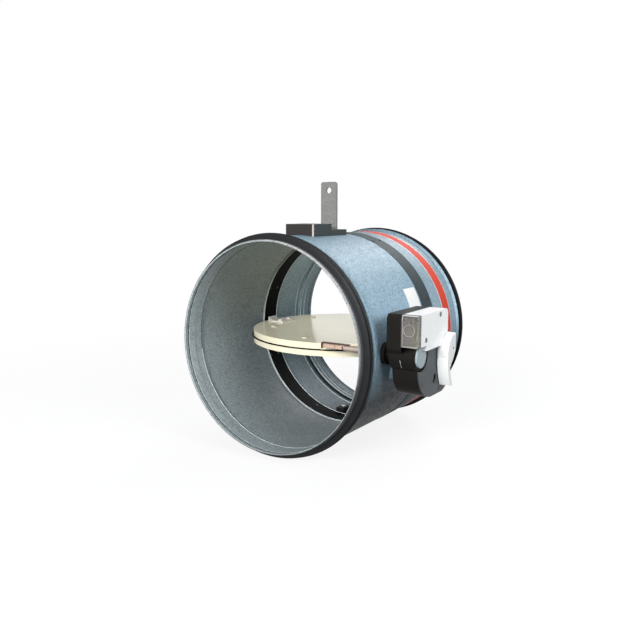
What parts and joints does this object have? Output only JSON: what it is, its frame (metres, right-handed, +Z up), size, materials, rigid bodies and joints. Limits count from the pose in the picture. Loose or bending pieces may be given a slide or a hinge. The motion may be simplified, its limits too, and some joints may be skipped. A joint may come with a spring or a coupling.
{
  "type": "round fire damper",
  "caption": "Round galvanised fire damper with a pivoting insulated blade, duct gaskets, a hand lever linked to the blade, a trip button with fuse and a hanging lug.",
  "frame": {"origin": "duct axis at the blade axle, inside the grey joint band", "axes": "+Y along the duct from the front mouth to the rear mouth, +X towards the mechanism, +Z up"},
  "size_m": [0.3918, 0.3704, 0.3982],
  "materials": {
    "galvanised": "spangled zinc, satin",
    "insulation": "pressed fibre board",
    "intumescent": "matt",
    "band_grey": "satin tape",
    "tape_red": "printed tape, plain",
    "label_white": "blank film",
    "rubber": "satin",
    "bronze": "sintered",
    "black_plastic": "moulded, satin",
    "zinc": "zinc plated",
    "spring_steel": "oiled",
    "board": "coated calcium silicate board, satin",
    "slate_metal": "powder coat",
    "white_plastic": "moulded, gloss",
    "clear_plastic": "clear, lightly smoked",
    "green_plastic": "moulded",
    "circuit_board": "satin",
    "cream_plastic": "moulded",
    "grey_plastic": "moulded, satin",
    "bronze_dark": "browned",
    "copper": "bare copper"
  },
  "bodies": {
    "tunnel": {"front_sleeve": "galvanised", "rear_sleeve": "galvanised", "hanger_lug": "galvanised", "mounting_saddle": "galvanised", "sleeve_rivets": "galvanised", "insulating_ring": "insulation", "swelling_strip": "intumescent", "joint_band": "band_grey", "joint_rivets": "band_grey", "wall_limit_tape": "tape_red", "tape_edges": "label_white", "blank_label": "label_white", "front_gasket": "rubber", "rear_gasket": "rubber", "near_axle_bush": "bronze", "far_axle_bush": "bronze", "tunnel_bush": "bronze", "blade_stop": "black_plastic", "hanger_base": "black_plastic", "mechanism_housing": "black_plastic", "trip_collar": "black_plastic", "button_ring": "black_plastic", "face_bush": "black_plastic", "open_switch": "black_plastic", "closed_switch": "black_plastic", "stop_screw": "zinc", "hanger_screws": "zinc", "saddle_screws": "zinc", "cover_screws": "zinc", "latch_pin": "zinc", "trip_pin": "zinc", "fuse_tube": "zinc", "closing_spring": "spring_steel", "trip_spring": "spring_steel", "faceplate": "slate_metal", "faceplate_screws": "slate_metal", "terminal_cover": "white_plastic", "terminal_window": "clear_plastic", "terminal_block": "green_plastic", "switch_plate": "circuit_board", "fuse_cage": "bronze_dark", "fusible_link": "copper"},
    "blade": {"upper_board": "board", "lower_board": "board", "blade_seal": "rubber", "board_bolts": "zinc", "drive_bracket": "zinc", "pivot_bracket": "zinc", "bracket_screws": "zinc", "blade_drive_pin": "zinc"},
    "lever": {"lever": "white_plastic", "lever_pin": "zinc", "lever_shaft": "zinc", "crank_arm": "zinc", "crank_pin": "zinc", "control_cam": "cream_plastic"},
    "link_rod": {"link_rod": "zinc"},
    "trip_button": {"trip_button": "grey_plastic"},
    "latch": {"latch_lever": "zinc"}
  },
  "joints": [
    {"name": "blade_hinge", "type": "hinge", "parent": "tunnel", "child": "blade", "pos_m": [0, 0, 0], "axis": [1, 0, 0], "range_deg": [0, 90]},
    {"name": "lever_hinge", "type": "hinge", "parent": "tunnel", "child": "lever", "pos_m": [0.186, -0.0805, 0], "axis": [1, 0, 0], "range_deg": [0, 90]},
    {"name": "link_hinge", "type": "hinge", "parent": "lever", "child": "link_rod", "pos_m": [0.1434, -0.0805, 0.032], "axis": [1, 0, 0], "range_deg": [-90, 0]},
    {"name": "trip_press", "type": "slide", "parent": "tunnel", "child": "trip_button", "axis": [-1, 0, 0], "range_m": [0, 0.003], "stiffness_N_per_m": 200},
    {"name": "latch_hinge", "type": "hinge", "parent": "tunnel", "child": "latch", "pos_m": [0.19335, -0.128, 0.0015], "axis": [0, 0, -1], "range_deg": [0, 8]}
  ],
  "couplings": [
    {"joint": "lever_hinge", "follows": "blade_hinge", "ratio": 1},
    {"joint": "link_hinge", "follows": "blade_hinge", "ratio": -1},
    {"joint": "latch_hinge", "follows": "trip_press", "rad_per_m": 45.455}
  ]
}
